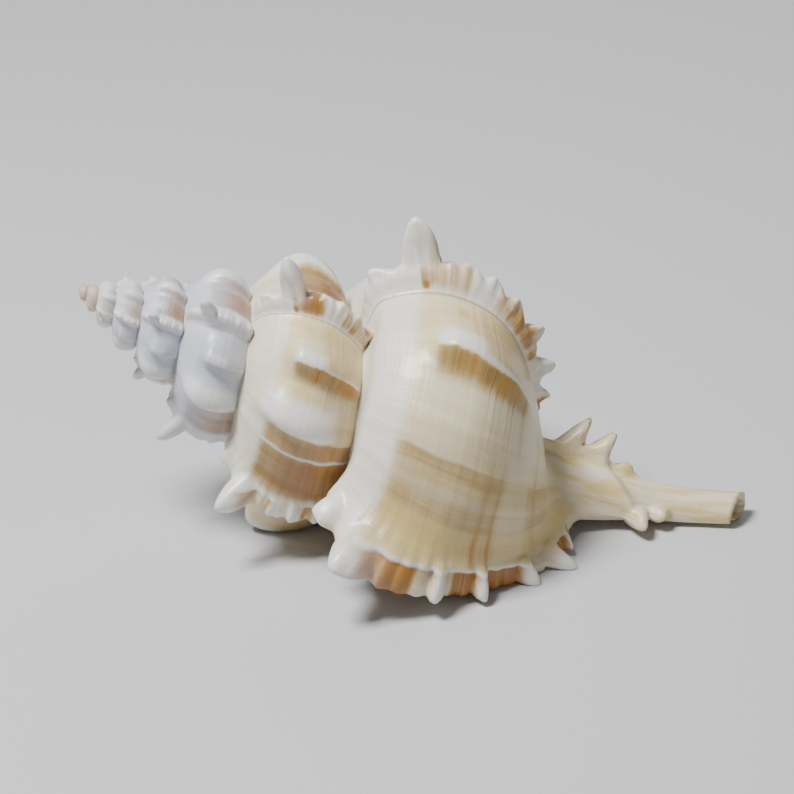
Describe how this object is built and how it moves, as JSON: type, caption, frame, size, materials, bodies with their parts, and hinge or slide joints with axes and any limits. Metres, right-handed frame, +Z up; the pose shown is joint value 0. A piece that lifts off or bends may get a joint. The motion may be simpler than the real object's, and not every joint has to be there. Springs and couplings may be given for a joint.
{
  "type": "murex shell",
  "caption": "Spindle-shaped sea-snail shell with spiny ridges, ribbed whorls, an open mouth and a long canal, lying mouth down.",
  "frame": {"origin": "centre of the shell's bounding box at the level of the floor that it lies on", "axes": "+X from the pointed spire to the tip of the canal, +Z up, as the shell lies mouth down; the outer lip is on the -Y side"},
  "size_m": [0.0982, 0.0574, 0.0479],
  "materials": {
    "shell": "glossy, cream and ivory with tan and orange-brown streaks, lavender-grey on the spire"
  },
  "bodies": {
    "root": {"shell": "shell"}
  },
  "joints": []
}
